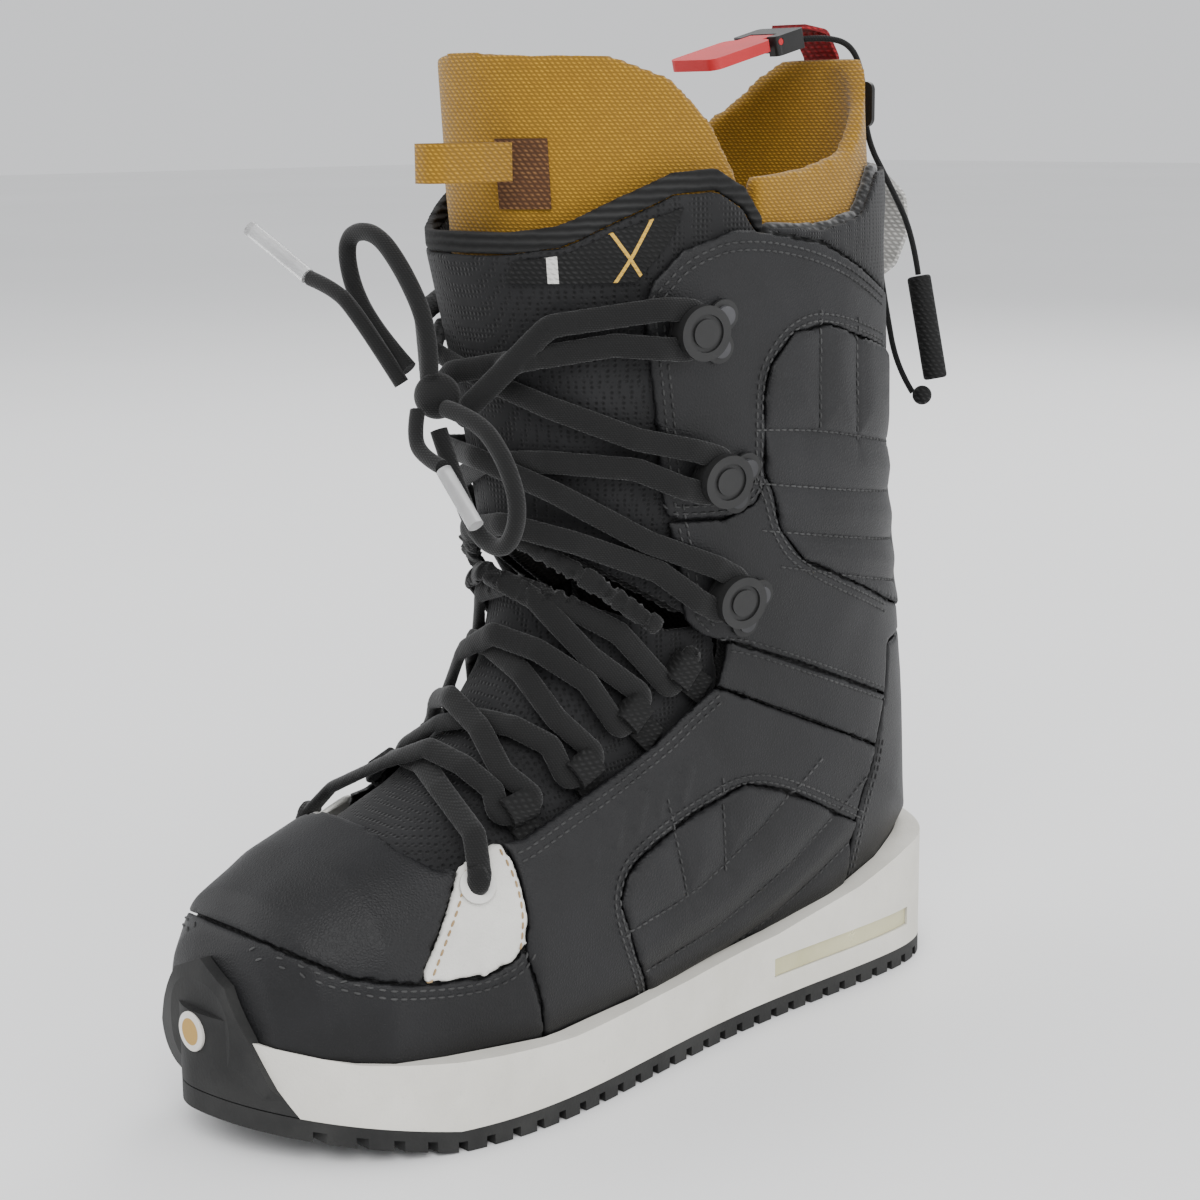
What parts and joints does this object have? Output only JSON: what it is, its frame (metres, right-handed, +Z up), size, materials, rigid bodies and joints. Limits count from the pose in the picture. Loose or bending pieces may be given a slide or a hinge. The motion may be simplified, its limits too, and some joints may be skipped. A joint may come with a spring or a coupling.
{
  "type": "snowboard boot",
  "caption": "Lace-up snowboard boot with quilted black leather shell, mustard woven liner, white midsole, lugged outsole and flexing cuff.",
  "frame": {"origin": "the ground plane under the middle of the sole, on the bottom face of a centre lug", "axes": "+X across the boot to its outer (lateral) side, +Y back to the heel, +Z up; the toe points to -Y"},
  "size_m": [0.1297, 0.3242, 0.3493],
  "materials": {
    "midsole_foam": "matte, slightly scuffed",
    "heel_gel": "translucent pale yellow",
    "outsole_rubber": "matte moulded",
    "badge_plastic": "gloss",
    "board": "pressed fibre",
    "shank_steel": "brushed",
    "footbed_foam": "brushed knit over foam",
    "black_leather": "fine grain, semi-matte",
    "white_leather": "fine grain",
    "quilted_leather": "soft quilted",
    "black_mesh": "spacer mesh",
    "mustard_fabric": "coarse weave",
    "lace_cord": "soft round braid",
    "clear_plastic": "clear",
    "black_plastic": "moulded",
    "rivet_steel": "black oxide",
    "black_webbing": "woven",
    "white_webbing": "woven",
    "red_webbing": "woven",
    "red_plastic": "moulded",
    "brown_label": "woven label"
  },
  "bodies": {
    "foot": {"midsole": "midsole_foam", "heel_window_insert": "heel_gel", "outsole": "outsole_rubber", "toe_bumper": "outsole_rubber", "toe_badge": "badge_plastic", "insole_board": "board", "shank": "shank_steel", "footbed": "footbed_foam", "toe_rand": "black_leather", "vamp": "black_leather", "eyelet_patch_lateral": "white_leather", "eyelet_patch_medial": "white_leather", "eyelets": "badge_plastic", "quarter_lateral": "black_leather", "quarter_medial": "black_leather", "quilt_lower_lateral": "quilted_leather", "quilt_lower_medial": "quilted_leather", "heel_counter": "black_leather", "lining_foot": "footbed_foam", "liner_foot": "footbed_foam", "shell_tongue_lower": "black_mesh", "liner_tongue_lower": "mustard_fabric", "lace_loops": "black_webbing", "lace_lower_a": "lace_cord", "lace_lower_b": "lace_cord"},
    "cuff": {"lining_cuff": "footbed_foam", "strap_lateral": "black_leather", "strap_medial": "black_leather", "cuff_panel_lateral": "black_leather", "cuff_panel_medial": "black_leather", "hook_panel_lateral": "black_leather", "hook_panel_medial": "black_leather", "backstay": "black_leather", "quilt_upper_lateral": "quilted_leather", "quilt_upper_medial": "quilted_leather", "shell_tongue_upper": "black_mesh", "tongue_binding": "black_mesh", "collar_pad": "black_mesh", "liner_tongue_upper": "mustard_fabric", "liner_cuff": "mustard_fabric", "lace_upper_a": "lace_cord", "lace_upper_b": "lace_cord", "lace_knot": "lace_cord", "bow_loops": "lace_cord", "lace_tails": "lace_cord", "liner_cord": "lace_cord", "aglets": "clear_plastic", "lace_hooks": "black_plastic", "lock_body": "black_plastic", "cord_guide": "black_plastic", "hook_rivets": "rivet_steel", "tongue_label": "black_webbing", "heel_pull_loop": "white_webbing", "liner_red_loop": "red_webbing", "liner_tongue_label": "brown_label"},
    "pull_tab": {"pull_tab": "red_plastic"},
    "pull_handle": {"pull_handle": "black_plastic"},
    "liner_tongue_loop": {"liner_tongue_loop": "mustard_fabric"}
  },
  "joints": [
    {"name": "ankle_flex", "type": "hinge", "parent": "foot", "child": "cuff", "pos_m": [0, 0.019, 0.127], "axis": [1, 0, 0], "range_deg": [0, 8], "stiffness_Nm_per_rad": 20},
    {"name": "pull_tab_lift", "type": "hinge", "parent": "cuff", "child": "pull_tab", "pos_m": [-0.006, 0.0925, 0.343], "axis": [1, 0, 0], "range_deg": [-40, 8]},
    {"name": "handle_swing", "type": "hinge", "parent": "cuff", "child": "pull_handle", "pos_m": [0.0207, 0.152, 0.258], "axis": [1, 0, 0], "range_deg": [0, 30]},
    {"name": "tongue_loop_swing", "type": "hinge", "parent": "cuff", "child": "liner_tongue_loop", "pos_m": [0.0185, -0.0506, 0.304], "axis": [0, 0, 1], "range_deg": [-30, 30]}
  ]
}
